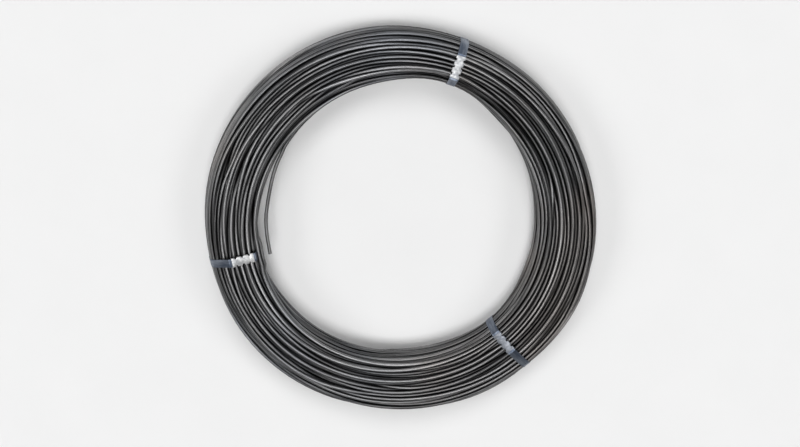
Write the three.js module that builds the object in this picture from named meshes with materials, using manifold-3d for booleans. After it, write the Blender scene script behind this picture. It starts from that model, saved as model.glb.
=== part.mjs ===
// A coil of dark wire rod: one ring of wound rod, held by three steel ties that are each closed
// with a crimped seal. It lies flat on its own turns.
// Millimetres, +Z up. The origin is the middle of the bore, at the level of the floor.

import * as THREE from "three";
import { mergeVertices } from "three/addons/utils/BufferGeometryUtils.js";
import Module from "manifold-3d";

const wasm = await Module();
wasm.setup();

// The ring, between its ties.
const BORE_DIAMETER = 422;
const RADIAL_BUILD = 90; // from the bore to the outside
const AXIAL_BUILD = 78; // from the bottom turns to the top turns
const SECTION_CORNER = 32; // how round the winding's section is
const CORNER_MOST = 0.47; // the share of a thin wall that one round corner may take up
const ROD_DIAMETER = 5.5;
const VALLEY_DEPTH = 1.8; // between two neighbouring turns
const LAY_DEPTH = 2; // how far the deepest turns lie below the others
const LAY_STRIDE = 2.4; // how fast the depth changes from turn to turn, in radians
const STEPS_BETWEEN_TIES = 13;

// The ring isn't quite round, and its wall is thicker on one side. These waves in the side of its
// bore and in its outside each have a count, a height outwards, and the angle of one crest.
const BORE_WAVES = [[1, 6.5, 115], [2, 6.6, 67], [3, 3, -31]];
const OUTSIDE_WAVES = [[1, 1.4, -49], [2, 4.1, -66], [3, 1.2, -27]];
const HEIGHT_SHARE = 0.7; // how far a thinner wall is made up for by its height

// The ties, and how far each one pulls the winding in.
const TIE_ANGLES = [71.5, 190.9, 311.3]; // degrees round the ring
const BORE_SQUEEZE = 7;
const OUTSIDE_SQUEEZE = 2.5;
const END_SQUEEZE = 2; // at the top and at the bottom
const SQUEEZE_FULL = 4; // degrees each side of a tie that are pulled in all the way
const SQUEEZE_REACH = 28; // degrees each side of a tie where the winding is back at its full size
const STRAP_WIDTH = 12.7;
const STRAP_THICKNESS = 0.5;
const STRAP_TAIL = 3; // how far each strap end runs on past its seal
const STRAP_RAMP = 9; // the length of strap that climbs onto the seal

// The crimped seals.
const SEAL_LENGTH = 34;
const SEAL_PLACES = [8, -12, -14]; // the middle of each, outwards from the middle of the wall
const SEAL_SHEET = 0.8;
const SEAL_FLANGE = 4; // how far the folded edges reach under the strap
const NOTCH_PAIRS = 3;
const NOTCH_PITCH = 10.5;
const NOTCH_LENGTH = 4.5; // along the strap, at the seal's edge
const NOTCH_DEPTH = 2.6; // from the seal's edge towards its middle

// The two ends of the rod. Each pair of angles is where it leaves the turns, and its tip.
const INNER_END_ANGLES = [145, 192.4];
const INNER_END_LIFT = 8; // how far the tip springs into the bore
const INNER_END_HEIGHT = 54;
const OUTER_END_ANGLES = [268, 228];
const OUTER_END_PLACE = 0.37; // the share of the way round the section, from the middle of its top
const END_RISE = 0.6; // the share of an end's length that it takes to clear the turns
const END_STEPS = 9;
const ROD_SIDES = 8;

// Gaps between pieces that touch.
const TIE_CLEARANCE = 0.3;
const LAP_CLEARANCE = 0.12;
const SLEEVE_CLEARANCE = 0.15;

const CORNER_STEPS = 12; // folds of a strap round each corner of the section, an even number
const RIGHT_ANGLE = Math.PI / 2;
const RING_AXIS = new THREE.Vector3(0, 0, 1);
const FULL_TURN = 360;
const MERGE_DISTANCE = 1e-4;
const LEAST_FOLD_SPACING = 0.05;

const ROD_RADIUS = ROD_DIAMETER / 2;
const MIDDLE_RADIUS = BORE_DIAMETER / 2 + RADIAL_BUILD / 2;
const SEAL_HALF_WIDTH = STRAP_WIDTH / 2 + SLEEVE_CLEARANCE + SEAL_SHEET;
const LAP_HALF = SEAL_LENGTH / 2 + STRAP_TAIL; // half of the length where the strap is double
const SAVED_AT_CORNERS = 8 * SECTION_CORNER - 4 * RIGHT_ANGLE * SECTION_CORNER;

// Each tie lies on a flat of the ring that is a little wider than its seal. This is half the angle
// that the flat takes up, in radians.
const FLAT_HALF_ANGLE = (SEAL_HALF_WIDTH + ROD_RADIUS) / (BORE_DIAMETER / 2);

// Heights of the layers of a closed tie, above the turns that it lies on.
const UNDER_STRAP = TIE_CLEARANCE + SEAL_SHEET + SLEEVE_CLEARANCE;
const OVER_STRAP = UNDER_STRAP + STRAP_THICKNESS + LAP_CLEARANCE;
const SEAL_ROOF = OVER_STRAP + STRAP_THICKNESS + SLEEVE_CLEARANCE;
const SEAL_TOP = SEAL_ROOF + SEAL_SHEET;

const rodMaterial = new THREE.MeshStandardMaterial({ color: 0x3c3b3a, roughness: 0.5, metalness: 0.7 });
const strapMaterial = new THREE.MeshStandardMaterial({ color: 0x5d6670, roughness: 0.4, metalness: 0.9 });
const sealMaterial = new THREE.MeshStandardMaterial({ color: 0xc6cbd0, roughness: 0.3, metalness: 1 });

// How far waves carry a wall outwards at an angle round the ring.
function wavesAt(waves, degrees) {
  const heights = waves.map(([count, height, crest]) => {
    return height * Math.cos(THREE.MathUtils.degToRad(count * (degrees - crest)));
  });
  return heights.reduce((sum, height) => sum + height);
}

// The winding's section at an angle round the ring, a rectangle with round corners that stands on
// the floor. squeeze is 0 where the winding has its full size and 1 at a tie. x runs out from the
// axis of the ring, counted from the middle of the wall, and y runs up from half the ring's height.
function sectionAt(degrees, squeeze) {
  const inner = wavesAt(BORE_WAVES, degrees) - RADIAL_BUILD / 2;
  const outer = wavesAt(OUTSIDE_WAVES, degrees) + RADIAL_BUILD / 2;
  const height = AXIAL_BUILD * (RADIAL_BUILD / (outer - inner)) ** HEIGHT_SHARE;
  const section = {
    inner: inner + BORE_SQUEEZE * squeeze,
    outer: outer - OUTSIDE_SQUEEZE * squeeze,
    bottom: END_SQUEEZE * squeeze - AXIAL_BUILD / 2,
    top: height - END_SQUEEZE * squeeze - AXIAL_BUILD / 2,
  };
  const thinnest = Math.min(section.outer - section.inner, section.top - section.bottom);
  const corner = Math.min(SECTION_CORNER - END_SQUEEZE * squeeze, CORNER_MOST * thinnest);
  return { ...section, corner };
}

// The outline of a section. It starts at the middle of the top and turns first towards the outside.
function sectionOutline({ inner, outer, bottom, top, corner }) {
  const path = new THREE.Path();
  path.moveTo((inner + outer) / 2, top);
  path.lineTo(outer - corner, top);
  path.absarc(outer - corner, top - corner, corner, RIGHT_ANGLE, 0, true);
  path.absarc(outer - corner, bottom + corner, corner, 0, -RIGHT_ANGLE, true);
  path.absarc(inner + corner, bottom + corner, corner, -RIGHT_ANGLE, -2 * RIGHT_ANGLE, true);
  path.absarc(inner + corner, top - corner, corner, 2 * RIGHT_ANGLE, RIGHT_ANGLE, true);
  path.lineTo((inner + outer) / 2, top);
  return path;
}

// The point that lies at a height above an outline, at a distance along it.
function aboveOutline(outline, distance, height) {
  const share = THREE.MathUtils.euclideanModulo(distance / outline.getLength(), 1);
  const along = outline.getTangent(share);
  const out = new THREE.Vector2(-along.y, along.x);
  return outline.getPoint(share).addScaledVector(out, height);
}

// The distances along an outline, between two others, at which a strip on it has to fold.
function foldsBetween(outline, from, to) {
  const folds = [];
  const length = outline.getLength();
  for (let lap = Math.floor(from / length); lap * length < to; lap++) {
    let start = lap * length;
    for (const curve of outline.curves) {
      const steps = curve.isEllipseCurve ? CORNER_STEPS : 1;
      for (let k = 0; k < steps; k++) folds.push(start + (curve.getLength() * k) / steps);
      start += curve.getLength();
    }
  }
  return folds.filter((fold) => fold > from && fold < to);
}

// A strip of even thickness that follows an outline. Each knot is a distance along the outline and
// the height of the strip's underside there.
function stripShape(outline, knots, thickness) {
  const distances = knots.map(([distance]) => distance);
  for (const fold of foldsBetween(outline, distances[0], distances[distances.length - 1])) {
    if (distances.every((distance) => Math.abs(distance - fold) > LEAST_FOLD_SPACING)) distances.push(fold);
  }
  distances.sort((a, b) => a - b);
  const heightAt = (distance) => {
    const next = Math.max(1, knots.findIndex(([knot]) => knot >= distance));
    const [a, low] = knots[next - 1];
    const [b, high] = knots[next];
    return THREE.MathUtils.mapLinear(distance, a, b, low, high);
  };
  const under = distances.map((d) => aboveOutline(outline, d, heightAt(d)));
  const over = distances.map((d) => aboveOutline(outline, d, heightAt(d) + thickness));
  return new THREE.Shape([...under, ...over.reverse()]);
}

// A shape in the plane of the section, made solid from one distance across the tie to another.
function acrossTie(shape, from, to) {
  return new THREE.ExtrudeGeometry(shape, { depth: to - from, bevelEnabled: false }).translate(0, 0, from);
}

function solidOf(geometry) {
  const bare = geometry.index ? geometry.toNonIndexed() : geometry.clone();
  bare.deleteAttribute("normal");
  bare.deleteAttribute("uv");
  const merged = mergeVertices(bare, MERGE_DISTANCE);
  const vertProperties = new Float32Array(merged.attributes.position.array);
  const triVerts = new Uint32Array(merged.index.array);
  return new wasm.Manifold(new wasm.Mesh({ numProp: 3, vertProperties, triVerts }));
}

function geometryOf(solid) {
  const mesh = solid.getMesh();
  const geometry = new THREE.BufferGeometry();
  geometry.setAttribute("position", new THREE.BufferAttribute(mesh.vertProperties, 3));
  geometry.setIndex(new THREE.BufferAttribute(mesh.triVerts, 1));
  const faceted = geometry.toNonIndexed();
  faceted.computeVertexNormals();
  return faceted;
}

const joined = (geometries) => geometries.map(solidOf).reduce((whole, solid) => whole.add(solid));
const cut = (solid, tools) => tools.map(solidOf).reduce((rest, tool) => rest.subtract(tool), solid);

// The angles round the ring at which the winding has a section of its own: one at each edge of
// every tie's flat, and even steps from each tie to the next.
function stationAngles() {
  const besideTie = THREE.MathUtils.radToDeg(FLAT_HALF_ANGLE);
  return TIE_ANGLES.flatMap((tie, index) => {
    const next = TIE_ANGLES[(index + 1) % TIE_ANGLES.length];
    const span = THREE.MathUtils.euclideanModulo(next - tie, FULL_TURN) || FULL_TURN;
    const step = (span - 2 * besideTie) / STEPS_BETWEEN_TIES;
    return Array.from({ length: STEPS_BETWEEN_TIES + 1 }, (_, k) => tie + besideTie + k * step);
  });
}

function anglesApart(a, b) {
  const apart = THREE.MathUtils.euclideanModulo(a - b, FULL_TURN);
  return Math.min(apart, FULL_TURN - apart);
}

// How much the winding is squeezed at an angle round the ring, from 0 to 1.
function squeezeAt(degrees) {
  const fromTies = TIE_ANGLES.map((tie) => anglesApart(tie, degrees));
  return 1 - THREE.MathUtils.smoothstep(Math.min(...fromTies), SQUEEZE_FULL, SQUEEZE_REACH);
}

// The outline of the wound turns: a ridge for every turn on the surface. Some turns lie deeper than
// their neighbours. Those that lie highest at the bottom carry the coil, and are flat where they
// meet the floor. Every section has as many turns, and is even across the flat that a tie lies on.
function turnsProfile(degrees) {
  const tie = TIE_ANGLES.find((angle) => anglesApart(angle, degrees) < SQUEEZE_FULL);
  const outline = sectionOutline(sectionAt(tie ?? degrees, squeezeAt(degrees)));
  const turns = Math.round((2 * (RADIAL_BUILD + AXIAL_BUILD) - SAVED_AT_CORNERS) / ROD_DIAMETER);
  const pitch = outline.getLength() / turns;
  const bottom = outline.getLength() / 2;
  const floorHalf = (RADIAL_BUILD / 2 - SECTION_CORNER) / ROD_DIAMETER;
  const points = [];
  for (let turn = 0; turn < turns; turn++) {
    const middle = bottom + turn * pitch;
    const depth = LAY_DEPTH * Math.max(0, Math.sin(turn * LAY_STRIDE));
    const onFloor = depth === 0 && Math.min(turn, turns - turn) < floorHalf;
    points.push(aboveOutline(outline, middle - pitch / 2, -VALLEY_DEPTH - LAY_DEPTH / 2));
    if (onFloor) {
      points.push(aboveOutline(outline, middle - pitch / 4, 0));
      points.push(aboveOutline(outline, middle + pitch / 4, 0));
    } else {
      points.push(aboveOutline(outline, middle, -depth));
    }
  }
  return [...points, points[0]].reverse();
}

// One turned solid with its bore, whose section is pulled in at each tie.
function windingGeometry() {
  const angles = stationAngles();
  const profiles = angles.map(turnsProfile);
  const full = profiles[0].map(({ x, y }) => new THREE.Vector2(MIDDLE_RADIUS + x, y));
  const geometry = new THREE.LatheGeometry(full, angles.length);
  const position = geometry.getAttribute("position");
  for (let vertex = 0; vertex < position.count; vertex++) {
    const station = Math.floor(vertex / full.length) % angles.length;
    const { x, y } = profiles[station][vertex % full.length];
    const turned = THREE.MathUtils.degToRad(angles[station]);
    const point = new THREE.Vector3(MIDDLE_RADIUS + x, 0, AXIAL_BUILD / 2 + y);
    position.setXYZ(vertex, ...point.applyAxisAngle(RING_AXIS, turned));
  }
  return geometry;
}

// A loose end of the rod: it leaves the winding along its turns and rises out of it to its tip.
// place gives the middle of the rod in the plane of a section, for how far it has risen, from 0
// to 1.
function rodEnd([from, to], place) {
  const points = [];
  for (let k = 0; k <= END_STEPS; k++) {
    const share = k / END_STEPS;
    const degrees = THREE.MathUtils.lerp(from, to, share);
    const { x, y } = place(sectionAt(degrees, 0), THREE.MathUtils.smoothstep(share, 0, END_RISE));
    const point = new THREE.Vector3(MIDDLE_RADIUS + x, 0, AXIAL_BUILD / 2 + y);
    points.push(point.applyAxisAngle(RING_AXIS, THREE.MathUtils.degToRad(degrees)));
  }
  const round = new THREE.Shape().absarc(0, 0, ROD_RADIUS, 0, 4 * RIGHT_ANGLE);
  const extrudePath = new THREE.CatmullRomCurve3(points);
  const options = { curveSegments: ROD_SIDES / 2, steps: 2 * END_STEPS, extrudePath };
  return new THREE.ExtrudeGeometry(round, options);
}

// The inner end springs a little way into the bore, inside the tie that it passes.
function innerEnd() {
  return rodEnd(INNER_END_ANGLES, ({ inner }, risen) => {
    const x = inner + ROD_RADIUS + THREE.MathUtils.lerp(VALLEY_DEPTH, -INNER_END_LIFT, risen);
    return new THREE.Vector2(x, INNER_END_HEIGHT - AXIAL_BUILD / 2);
  });
}

// The outer end lies on the turns of the lower outside corner.
function outerEnd() {
  const buried = -ROD_RADIUS - VALLEY_DEPTH;
  return rodEnd(OUTER_END_ANGLES, (section, risen) => {
    const outline = sectionOutline(section);
    const corner = outline.getLength() * OUTER_END_PLACE;
    return aboveOutline(outline, corner, THREE.MathUtils.lerp(buried, ROD_RADIUS, risen));
  });
}

// The tightest loop round some points, clockwise.
function tightLoop(points) {
  const turnsRight = (a, b, c) => b.clone().sub(a).cross(c.clone().sub(b)) < 0;
  const chain = (ordered) => {
    const kept = [];
    for (const point of ordered) {
      while (kept.length > 1 && !turnsRight(...kept.slice(-2), point)) kept.pop();
      kept.push(point);
    }
    return kept.slice(0, -1);
  };
  const ordered = points.toSorted((a, b) => a.x - b.x || a.y - b.y);
  return [...chain(ordered), ...chain(ordered.toReversed())];
}

// The loop that a strap lies on, clockwise from the middle of its seal. It follows the section of
// its tie, and is straight under the seal and the ends of the strap.
function strapLoop(degrees, sealPlace) {
  const section = sectionAt(degrees, 1);
  const turns = sectionOutline(section).getPoints(CORNER_STEPS / 2);
  const [start, end] = [-LAP_HALF, LAP_HALF].map((side) => {
    const x = sealPlace + side;
    const round = section.corner;
    const over = Math.max(section.inner + round - x, x - section.outer + round, 0);
    return new THREE.Vector2(x, section.top - round + Math.sqrt(round ** 2 - over ** 2));
  });
  const along = end.clone().sub(start).normalize();
  const out = new THREE.Vector2(-along.y, along.x);
  const lift = Math.max(...turns.map((point) => point.clone().sub(start).dot(out)));
  const middle = start.clone().lerp(end, 1 / 2).addScaledVector(out, lift);
  const [first, last] = [-LAP_HALF, LAP_HALF].map((side) => middle.clone().addScaledVector(along, side));
  const loop = tightLoop([...turns, first, last]);
  const after = loop.indexOf(last);
  return new THREE.Path([middle, ...loop.slice(after), ...loop.slice(0, after), middle]);
}

// The notches that lock a seal to both layers of its strap, in pairs. Each is narrower at its
// bottom than at the seal's edge.
function notchGeometries(loop) {
  const notches = [];
  const edge = SEAL_HALF_WIDTH + SLEEVE_CLEARANCE;
  const bottom = SEAL_HALF_WIDTH - NOTCH_DEPTH;
  for (let pair = 0; pair < NOTCH_PAIRS; pair++) {
    const distance = (pair - (NOTCH_PAIRS - 1) / 2) * NOTCH_PITCH;
    const foot = aboveOutline(loop, distance, 0);
    const out = aboveOutline(loop, distance, SEAL_TOP + TIE_CLEARANCE).sub(foot);
    for (const side of [0, 1]) {
      const shape = new THREE.Shape([
        new THREE.Vector2(-NOTCH_LENGTH / 2, edge),
        new THREE.Vector2(-NOTCH_LENGTH / 4, bottom),
        new THREE.Vector2(NOTCH_LENGTH / 4, bottom),
        new THREE.Vector2(NOTCH_LENGTH / 2, edge),
      ]);
      const notch = new THREE.ExtrudeGeometry(shape, { depth: out.length(), bevelEnabled: false });
      notch.rotateX(-RIGHT_ANGLE);
      notch.rotateY(2 * RIGHT_ANGLE * side);
      notch.rotateZ(out.angle() - RIGHT_ANGLE);
      notches.push(notch.translate(foot.x, foot.y, 0));
    }
  }
  return notches;
}

// A steel strap bent round the winding. Its first end lies under the seal, and its last end comes
// back over the first one.
function strapGeometry(loop) {
  const length = loop.getLength();
  const knots = [
    [-LAP_HALF, UNDER_STRAP],
    [LAP_HALF, UNDER_STRAP],
    [LAP_HALF + STRAP_RAMP, TIE_CLEARANCE],
    [length - LAP_HALF - STRAP_RAMP, TIE_CLEARANCE],
    [length - LAP_HALF, OVER_STRAP],
    [length + LAP_HALF, OVER_STRAP],
  ];
  const shape = stripShape(loop, knots, STRAP_THICKNESS);
  const strap = acrossTie(shape, -STRAP_WIDTH / 2, STRAP_WIDTH / 2);
  return geometryOf(cut(solidOf(strap), notchGeometries(loop)));
}

// A seal: a sheet folded over both layers of the strap, with its edges turned in under them.
function sealGeometry(loop) {
  const plate = (low, high, from, to) => {
    const knots = [-SEAL_LENGTH / 2, SEAL_LENGTH / 2].map((end) => [end, low]);
    return acrossTie(stripShape(loop, knots, high - low), from, to);
  };
  const inside = SEAL_HALF_WIDTH - SEAL_SHEET;
  const flange = SEAL_HALF_WIDTH - SEAL_FLANGE;
  const flangeTop = TIE_CLEARANCE + SEAL_SHEET;
  const folded = [
    plate(SEAL_ROOF, SEAL_TOP, -SEAL_HALF_WIDTH, SEAL_HALF_WIDTH),
    plate(TIE_CLEARANCE, SEAL_TOP, -SEAL_HALF_WIDTH, -inside),
    plate(TIE_CLEARANCE, SEAL_TOP, inside, SEAL_HALF_WIDTH),
    plate(TIE_CLEARANCE, flangeTop, -SEAL_HALF_WIDTH, -flange),
    plate(TIE_CLEARANCE, flangeTop, flange, SEAL_HALF_WIDTH),
  ];
  return geometryOf(cut(joined(folded), notchGeometries(loop)));
}

function namedMesh(name, geometry, material) {
  const mesh = new THREE.Mesh(geometry, material);
  mesh.name = name;
  return mesh;
}

const coil = new THREE.Group();
const rod = geometryOf(joined([windingGeometry(), innerEnd(), outerEnd()]));
coil.add(namedMesh("wire_coil", rod, rodMaterial));

// A tie is modelled in the plane of the section, stood up and turned to its place on the ring.
// Its flat is a chord of the ring, so it lies a little nearer to the axis than the arc does.
TIE_ANGLES.forEach((angle, index) => {
  const tie = new THREE.Group();
  tie.rotation.z = THREE.MathUtils.degToRad(angle);
  const loop = strapLoop(angle, SEAL_PLACES[index]);
  const pieces = [
    namedMesh(`tie_strap_${index + 1}`, strapGeometry(loop), strapMaterial),
    namedMesh(`tie_seal_${index + 1}`, sealGeometry(loop), sealMaterial),
  ];
  for (const piece of pieces) {
    piece.rotation.x = RIGHT_ANGLE;
    piece.position.set(MIDDLE_RADIUS * Math.cos(FLAT_HALF_ANGLE), 0, AXIAL_BUILD / 2);
    tie.add(piece);
  }
  coil.add(tie);
});

export default coil;
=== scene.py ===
"""Dresses a coil of wire rod: winds it turn by turn, straps it, crimps its seals and sets the stage."""

import math
from functools import lru_cache
from typing import NamedTuple

import bmesh
import bpy
import numpy as np
from bpy.props import FloatProperty, FloatVectorProperty, IntProperty, PointerProperty
from mathutils import Matrix, Vector


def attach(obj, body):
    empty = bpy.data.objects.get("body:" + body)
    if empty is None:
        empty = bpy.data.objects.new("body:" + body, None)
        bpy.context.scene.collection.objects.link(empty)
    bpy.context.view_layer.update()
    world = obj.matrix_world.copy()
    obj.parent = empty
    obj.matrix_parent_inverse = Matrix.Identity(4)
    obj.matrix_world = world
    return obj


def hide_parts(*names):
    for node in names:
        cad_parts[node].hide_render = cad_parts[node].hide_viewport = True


bl_info = {
    "name": "Coil of Wire Rod",
    "version": (1, 0, 0),
    "blender": (4, 5, 0),
    "location": "3D View > Sidebar > Wire Rod",
    "description": "Winds a coil of rod, straps it, crimps its seals and lights it in a studio",
    "category": "Object",
}

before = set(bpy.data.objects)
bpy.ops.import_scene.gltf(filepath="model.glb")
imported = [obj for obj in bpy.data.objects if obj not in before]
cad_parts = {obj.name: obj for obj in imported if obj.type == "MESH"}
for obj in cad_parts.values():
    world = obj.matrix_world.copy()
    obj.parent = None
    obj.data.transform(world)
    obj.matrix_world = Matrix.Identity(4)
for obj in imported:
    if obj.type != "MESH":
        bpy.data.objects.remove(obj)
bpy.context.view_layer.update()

FULL_TURN = 360.0
STATIONS = 120  # points of the rod in each turn
STATION_DEGREES = FULL_TURN / STATIONS


class Wave(NamedTuple):
    """One way in which the ring departs from round."""

    count: int  # its crests round the ring
    height: float
    crest: float  # where one of them is, in degrees


class BareLap(NamedTuple):
    """A lap of the rod that passes outside a strap, over the upper corner of the bore."""

    number: int
    turn: float  # its place round the corner, in degrees
    lift: float  # how far it lies clear of the winding


class Tie(NamedTuple):
    """One steel strap round the winding, closed with a seal."""

    number: int
    degrees: float  # round the ring
    seal_place: float  # outwards from the middle of the wall
    dulling_and_shade: float  # the painted shade on its seal, from 0 to 1: its least share of dull zinc, to which random dull patches add
    bare_laps: tuple = ()


TIES = (
    Tie(1, 71.5, 0.008, dulling_and_shade=0.3),
    Tie(2, 190.9, -0.012, dulling_and_shade=0.0, bare_laps=(BareLap(1, 161.5, 0.0052), BareLap(2, 154.0, 0.0023))),
    Tie(3, 311.3, -0.014, dulling_and_shade=0.76),
)
BORE_WAVES = (Wave(1, 0.0065, 115.0), Wave(2, 0.0066, 67.0), Wave(3, 0.003, -31.0))
OUTSIDE_WAVES = (Wave(1, 0.0014, -49.0), Wave(2, 0.0041, -66.0), Wave(3, 0.0012, -27.0))
HEIGHT_SHARE = 0.7  # how far a thinner wall is made up for by its height
SQUEEZE_FULL = 4.0  # degrees each side of a tie that are pulled in all the way
SQUEEZE_REACH = 28.0  # degrees each side of a tie where the winding is back at its full size

# The two ends of the rod, in degrees round the ring: where each leaves the turns, and its tip.
INNER_JOIN, INNER_TIP = 145.0, 192.4
OUTER_JOIN, OUTER_TIP = 268.0, 228.0
END_RISE = 0.6  # the share of an end's length that it takes to clear the turns
INNER_LIFT = 0.008  # how far the inner end springs into the bore
INNER_HOOK = 0.005  # how much further its last stretch bends in
INNER_HOOK_DEGREES = 21.0  # the length of that stretch
INNER_HEIGHT = 0.054  # of the inner end over the floor
OUTER_END_TURN = -45.0  # the outer end's place round the lower outside corner, in degrees

# How the turns are laid before they settle: each on its slot, from which it wanders.
PITCH_RANGE = (0.9, 1.6)  # the slots' pitch is sought between these, in diameters of the rod
PITCH_STEP = 1e-4  # how closely it is found, in diameters
WANDER_KNOT = 0.3  # the share of a turn after which its wander takes a new course
SINK_KNOT = 0.4  # the share of a turn after which it sinks more or less than before

# The grooves that gather the turns into bunches. They wander along the winding's surface, where waves meet.
GROOVE_WAVES = 24
GROOVE_ALONG = (-3, 4)  # a wave's crests round the ring: the least, and one past the most
GROOVE_AROUND = (12, 24)  # and its crests round the section
GROOVE_START = 0.8  # the waves' height, in standard deviations, at which a groove starts
GROOVE_RAMP = 0.35  # and how much higher they are where it has its full depth
GROOVE_LOST = 0.5  # the share of its depth that a groove loses at a tie
SIDES_EVEN = 0.7  # the share of its depth that it loses on the bore's side and on the outside
CALM_DEGREES = 60.0  # how far past a stretch with a known place the grooves are still growing

# How the turns are settled against each other and against the winding's surface.
SETTLE_ROUNDS = 18
STEPS_A_ROUND = 12
NEAR_SHARE = 1.5  # turns closer than this many diameters may come to touch in one round
LEAST_APART = 0.01  # two turns are never taken to be closer than this, in radii of the rod
PUSH_SHARE = 0.42  # the share of an overlap that each of two turns gives way in a step
WALL_SHARE = 0.8  # the share of its way back under the surface that a turn goes in a step
STRAIGHTEN_SHARE = 0.3  # how strongly the rod's stiffness straightens it in a step
BARE_STATIONS = 2.2  # stations each side of a tie where a turn that passes outside its strap is held

# Where the rod is clear of the turns beside it, its scale is painted light, and where a turn hides its
# neighbour's side, that side is painted in shade. A turn hides its neighbour's side if it is nearer than the
# first of these distances, in diameters, and less and less of it up to the second.
BESIDE = (1.1, 1.6)
PAINTED_SHADE_MOST = 0.98  # the share of the lightness that the painted shade takes away at most

# Gaps between pieces that touch.
SEAT_GAP = 0.0001  # from the turns to a strap
LAYER_GAP = 0.00012  # between the two laps of a strap
SLEEVE_GAP = 0.00015  # from a strap to its seal

# The straps and seals, beyond what their settings give.
STRAP_TAIL = 0.003  # how far the strap's ends stand out of the seal
STRAP_RAMP = 0.009  # the length of strap that climbs onto the seal
STRAP_EDGE = 0.4  # the rounding of its edges, as a share of its thickness
SEAL_FLANGE = 0.004  # how far the seal's folded edges reach under the strap
SEAL_EDGE = 0.00012  # the rounding of its cut edges
NOTCH_PAIRS = 3
NOTCH_PITCH = 0.0105
NOTCH_LENGTH = 0.0045  # at the seal's edge
NOTCH_DEPTH = 0.0026
NOTCH_CORNERS = (-0.5, -0.25, 0.25, 0.5)  # their places along it, as shares of its length

# How finely the pieces are divided.
BAR_SIDES = 10  # of the rod
ROD_PIECES = 3
RIM_SIDES = 24  # of the rod's rim, where a strap bends round it
CORNER_STEPS = 3  # of a round corner
RAMP_POINTS = 6  # of a strap where it climbs
LEAST_FOLD = 0.0001  # folds of a strap that lie closer than this are one
SAME_POINT = 0.001  # points of the rod that lie closer than this share of its radius are one
SHARP_DEGREES = 40

# The finishes. A pattern's scales are how many of its blotches a metre holds: along, across and through the
# rod or the strap for what runs with it, and along the three axes for what doesn't. A span is the stretch of
# a noise over which its effect grows, and a relief is the depth of its bumps.
NOISE_SPAN = (0.3, 0.7)  # most of any noise lies here
FINE_DETAIL = 3.0
MILL_TONES = (1.4, 0, 0)
MILL_STREAKS = (14, 700, 700)
MILL_FLECKS = (160, 900, 900)
MILL_LIGHT_SPAN = (0.6, 1.4)  # of tone and streaks together
MILL_BROWN = (6, 6, 6)
MILL_BLUE = (-5, 5, 9)
MILL_TINT_SPAN = (0.55, 0.75)
MILL_TINT_MOST = 0.3  # the share of a tint where it is strongest
MILL_ROUGHNESS, MILL_RELIEF = (0.37, 0.5), 0.00012
STRAP_SCRATCHES = (30, 2600, 0)
STRAP_SCRATCH_SPAN = (0.3, 0.6)
STRAP_PATCHES = (22, 90, 0)
STRAP_PATCH_SPAN = (0.45, 0.68)
STRAP_WORN_FROM = 0.82  # the share of its half width past which a strap's edges are worn
STRAP_WORN_MOST = 0.5  # how worn they are at the very edge
STRAP_ROUGHNESS, STRAP_RELIEF = (0.38, 0.55), 0.00003
ZINC_SPANGLES = 420.0
ZINC_SPANGLE_MOST = 0.25  # the share of dull zinc in the dullest spangle
ZINC_GRIME = (160, 160, 160)
ZINC_GRIME_SPAN = (0.35, 0.7)
ZINC_GRAIN = (900, 900, 900)
ZINC_ROUGHNESS, ZINC_RELIEF = (0.42, 0.58), 0.00004
COAT_METALLIC = 0.9  # of blued steel and of zinc
FLOOR_CLOUDS = (9, 9, 9)
FLOOR_CLOUDED = 0.985  # the colour's share that is left where the floor is darkest
FLOOR_GRAIN = (400, 400, 400)
FLOOR_ROUGHNESS, FLOOR_RELIEF = 0.7, 0.00002

# The studio. A lamp's place gives only its direction.
FLOOR_REACH = 20.0  # each way from the coil
LAMP_SPREAD = math.radians(26)  # how wide each lamp is, seen from the coil
KEY_PLACE = (0, 1.9, 2.5)
LEFT_PLACE = (-2.0, 0, 2.1)
RIGHT_PLACE = (2.0, 0, 2.1)
RIGHT_SHARE = 0.85  # of the left lamp's strength
TOP_PLACE = (0, -0.3, 3.2)
HORIZON = (0.06, 0.3)  # how far up, from 0 to 1, the walls give their full light, and where they have faded


class Ring(NamedTuple):
    """The winding: its sizes, and how its turns wander."""

    bore: float
    radial_build: float
    axial_build: float
    corner: float
    bore_squeeze: float
    outside_squeeze: float
    end_squeeze: float
    rod: float
    turns: int
    wander: float
    groove: float
    uneven: float
    seed: int

    @property
    def middle_radius(self):
        return (self.bore + self.radial_build) / 2

    @property
    def middle_height(self):
        return self.axial_build / 2


class Section(NamedTuple):
    """A rectangle with round corners in the plane of the winding's section, or one for each station."""

    across: float  # its middle, outwards from the middle of the wall
    up: float  # its middle, from the middle of the coil's height
    half_width: float
    half_height: float
    corner: float

    def inset(self, depth):
        sizes = (self.half_width - depth, self.half_height - depth, self.corner - depth)
        return Section(self.across, self.up, *sizes)

    def fitted(self, points, other):
        """Points of this section moved to the same places in another."""
        x = other.across + (points[:, 0] - self.across) * other.half_width / self.half_width
        y = other.up + (points[:, 1] - self.up) * other.half_height / self.half_height
        return np.stack([x, y], -1)

    def outside(self, points):
        """How far each point lies outside, and the way out from it."""
        x, y = points[..., 0] - self.across, points[..., 1] - self.up
        past_x = np.abs(x) - (self.half_width - self.corner)
        past_y = np.abs(y) - (self.half_height - self.corner)
        over_x, over_y = np.maximum(past_x, 0), np.maximum(past_y, 0)
        reach = np.hypot(over_x, over_y)
        distance = reach + np.minimum(np.maximum(past_x, past_y), 0) - self.corner
        at_corner = reach > 0
        length = np.where(at_corner, reach, 1)
        out_x = np.where(at_corner, over_x / length, past_x > past_y) * np.sign(x)
        out_y = np.where(at_corner, over_y / length, past_x <= past_y) * np.sign(y)
        return distance, np.stack([out_x, out_y], -1)


# ---- the winding ----


def waves_at(waves, degrees):
    return sum(wave.height * np.cos(np.radians(wave.count * (degrees - wave.crest))) for wave in waves)


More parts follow.
